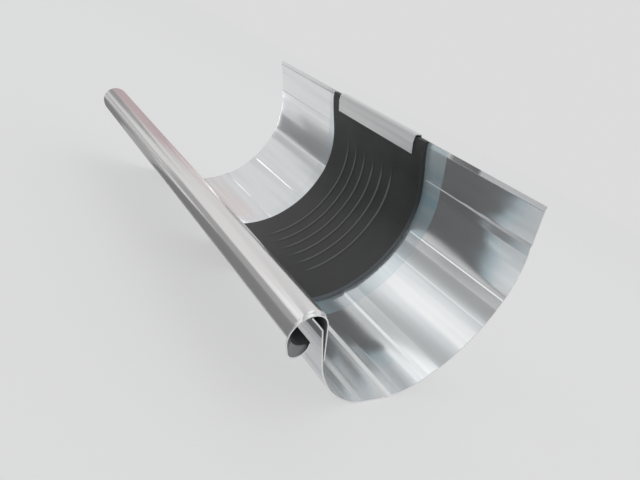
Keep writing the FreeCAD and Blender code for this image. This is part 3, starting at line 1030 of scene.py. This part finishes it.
def flat_corners(x_low, x_high, y_low, y_high, z=CLOTH_HEIGHT):
    """Corners of a level rectangle, a cloth's height above the floor unless told otherwise."""
    return [(x_low, y_low, z), (x_high, y_low, z), (x_high, y_high, z), (x_low, y_high, z)]


def upright_corners(x_low, x_high, y_low, y_high, z_low, z_high):
    """Corners of a standing rectangle, from one place on the floor to another."""
    return [(x_low, y_low, z_low), (x_high, y_high, z_low), (x_high, y_high, z_high), (x_low, y_low, z_high)]


floor_corners = flat_corners(-FLOOR_REACH, FLOOR_REACH, -FLOOR_REACH, FLOOR_REACH, 0.0)
stage_face("pale_floor", floor_corners, FLOOR_BASE, (FLOOR_GLOW, FLOOR_GLOW, FLOOR_GLOW))
for name, corners, glow in (
    ("near_cloth", flat_corners(-0.5, -0.07, -0.2, 0.11), (0.17, 0.17, 0.175)),
    ("far_cloth", flat_corners(-0.14, -0.035, 0.20, 0.5), (0.19, 0.19, 0.195)),
    ("soft_cloth", flat_corners(-0.30, -0.14, 0.20, 0.38), (0.42, 0.42, 0.42)),
    ("edge_cloth", flat_corners(-0.16, -0.004, 0.11, 0.20), (0.36, 0.36, 0.36)),
    ("side_cloth", flat_corners(-0.035, -0.004, 0.20, 0.28), (0.36, 0.36, 0.36)),
    ("low_card", upright_corners(-0.25, -0.25, -0.15, 0.27, 0.0, 0.11), (0.33, 0.33, 0.335)),
    ("grey_card", upright_corners(-0.81, -0.28, 2.0, 2.0, 0.35, 0.95), (0.26, 0.26, 0.26)),
    ("far_card", upright_corners(-0.62, -0.20, 0.6, 0.6, 0.0, 0.09), (0.50, 0.50, 0.50)),
    ("rosy_card", upright_corners(-0.28, 1.5, 2.0, 2.0, 0.0, 1.2), (0.48, 0.38, 0.395)),
    ("white_card", upright_corners(0.145, 0.19, 0.335, 0.335, 0.125, 0.175), (1.2, 1.2, 1.2)),
    ("blush_card", upright_corners(0.065, 0.20, 0.34, 0.34, 0.155, 0.25), (0.73, 0.655, 0.65)),
    ("strip_card", upright_corners(0.0715, 0.078, 0.17, 0.17, 0.06, 0.135), (2.5, 2.5, 2.5)),
):
    card = stage_face(name, corners, 0.0, glow)
    card.visible_camera = False
    card.visible_diffuse = False
    card.visible_shadow = False
print("stage: floor, five cloths, seven cards")

# %% [markdown]
# ## The light of the room
#
# The world is one soft tone, with bright and dim bands by height on the left, where the near half looks.
# The bands reach right round overhead, and the side behind the camera is dim. Area lamps could make the
# bands too, but would leave hard corners in the metal. One large soft box overhead gives the shadows a side.

# %% World and soft box
ROOM_TONE, BEHIND_TONE = (0.716, 0.716, 0.716, 1), (0.22, 0.22, 0.23, 1)
LEFT_X, LEFT_Y = -0.87, 0.5
LEFT_FROM, LEFT_FULL = 0.94, 0.99
WIDER_FROM, WIDER_FULL, WIDER_BY = 0.62, 0.74, 0.15
OVERHEAD_FROM, OVERHEAD_FULL = 0.82, 0.90
BEHIND_FROM, BEHIND_FULL = 0.2, 0.9
DIAGONAL, JUST_OVER_ONE = 0.71, 1.001
COOL_TINT = (0.97, 1.0, 1.01)
BANDS = (
    (0.00, 0.50),
    (0.10, 0.36),
    (0.19, 0.40),
    (0.26, 0.88),
    (0.36, 0.82),
    (0.45, 1.00),
    (0.54, 2.00),
    (0.63, 1.45),
    (0.72, 0.70),
    (0.80, 0.40),
    (0.86, 0.48),
    (0.92, 0.68),
    (1.00, 0.72),
)


def room_light():
    """A world of one tone, with bands by height to the left and overhead, and a dim side behind. How far
    left a direction points is its level part along the left heading, over the length of that level part."""
    world = bpy.data.worlds.new("soft_room")
    world.use_nodes = True
    tree = world.node_tree
    x, y, z = parts(tree, tree.nodes.new("ShaderNodeTexCoord").outputs["Generated"])
    level = math_node(tree, "MULTIPLY_ADD", product(tree, z, z), -1.0, JUST_OVER_ONE)
    left = math_node(tree, "MULTIPLY_ADD", y, LEFT_Y, product(tree, x, LEFT_X))
    left = math_node(tree, "DIVIDE", left, math_node(tree, "SQRT", level))
    wider = step(tree, z, WIDER_FROM, WIDER_FULL)
    left = step(tree, math_node(tree, "MULTIPLY_ADD", wider, WIDER_BY, left), LEFT_FROM, LEFT_FULL)
    behind = product(tree, math_node(tree, "ADD", x, y), -DIAGONAL)
    ramp = tree.nodes.new("ShaderNodeValToRGB")
    ramp.color_ramp.interpolation = "B_SPLINE"
    while len(ramp.color_ramp.elements) < len(BANDS):
        ramp.color_ramp.elements.new(0.5)
    for element, (height, tone) in zip(ramp.color_ramp.elements, BANDS):
        element.position = height
        element.color = (*(tone * tint for tint in COOL_TINT), 1)
    link(tree, z, ramp.inputs["Fac"])
    banded = math_node(tree, "MAXIMUM", left, step(tree, z, OVERHEAD_FROM, OVERHEAD_FULL))
    colour = mixed(tree, banded, ROOM_TONE, ramp.outputs["Color"])
    colour = mixed(tree, step(tree, behind, BEHIND_FROM, BEHIND_FULL), colour, BEHIND_TONE)
    link(tree, colour, tree.nodes["Background"].inputs["Color"])
    return world


scene.world = room_light()
soft_box = bpy.data.lights.new("soft_box", "AREA")
soft_box.shape = "DISK"
soft_box.size = 1.4
soft_box.energy = 2.0
lamp = bpy.data.objects.new("soft_box", soft_box)
lamp.location = (0.3, 0.2, 2.0)
lamp.rotation_euler = (-lamp.location).to_track_quat("-Z", "Y").to_euler()
scene.collection.objects.link(lamp)
print("world with", len(BANDS), "bands, one soft box")

# %% [markdown]
# ## The camera
#
# The camera stands to the left of the near end, close by and a little above, and it is rolled, as a phone
# held in one hand would be. Its place and its three directions are given as they are.

# %% Camera
camera_data = bpy.data.cameras.new("camera")
camera_data.sensor_fit = "HORIZONTAL"
camera_data.sensor_width = 36.0
camera_data.lens = 26.955
camera_data.clip_start = 0.01
camera = bpy.data.objects.new("camera", camera_data)
right = Vector((0.70795213, -0.55433421, 0.43762696))
up = Vector((-0.1146905, 0.5211802, 0.8457052))
back = Vector((-0.69688584, -0.64891045, 0.30539377))
turned = Matrix((right, up, back)).transposed().to_4x4()
camera_place = (-0.21972948, -0.26507663, 0.1501575)
camera.matrix_world = Matrix.Translation(camera_place) @ turned
scene.collection.objects.link(camera)
scene.camera = camera
print("camera with a %.1f mm lens" % camera_data.lens)
